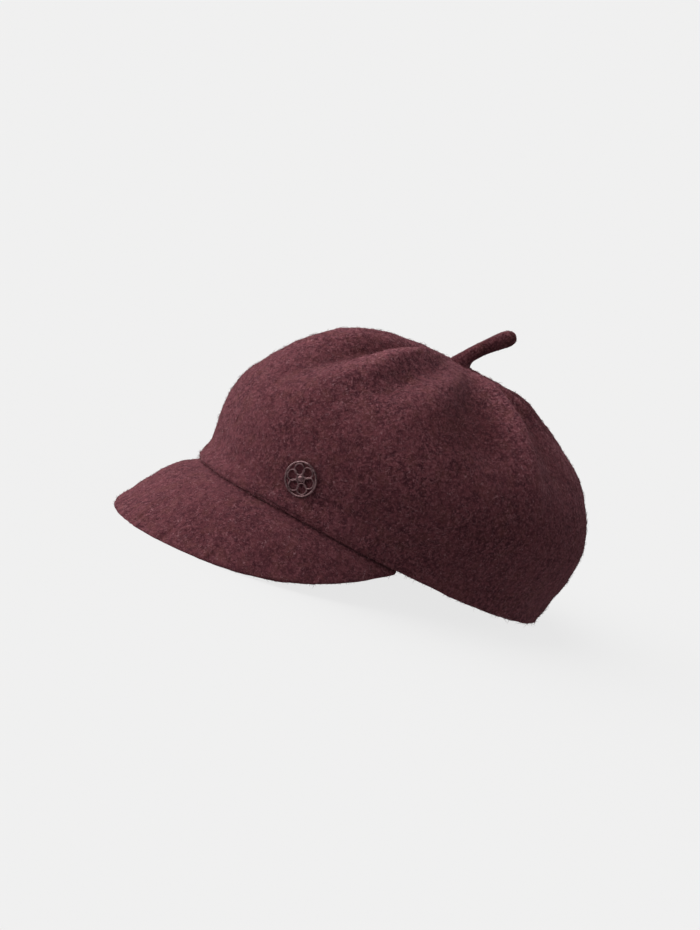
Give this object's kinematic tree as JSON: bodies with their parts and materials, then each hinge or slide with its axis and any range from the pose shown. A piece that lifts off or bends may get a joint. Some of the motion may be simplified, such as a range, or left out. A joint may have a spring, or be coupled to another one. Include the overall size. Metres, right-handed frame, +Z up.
{
  "type": "felt newsboy cap",
  "caption": "Soft round felt newsboy cap with a short curved peak, a small felt stem on top and a round openwork metal badge.",
  "frame": {"origin": "middle of the footprint, on the surface that the cap rests on", "axes": "-Y is the front, where the peak points; +X is the wearer's left, where the badge is; +Z is up"},
  "size_m": [0.192, 0.2486, 0.14],
  "materials": {
    "felt": "matte boiled wool with a short nap",
    "badge_metal": "dark lacquer, satin"
  },
  "bodies": {
    "root": {"crown": "felt", "peak": "felt", "stem": "felt", "badge": "badge_metal"}
  },
  "joints": []
}
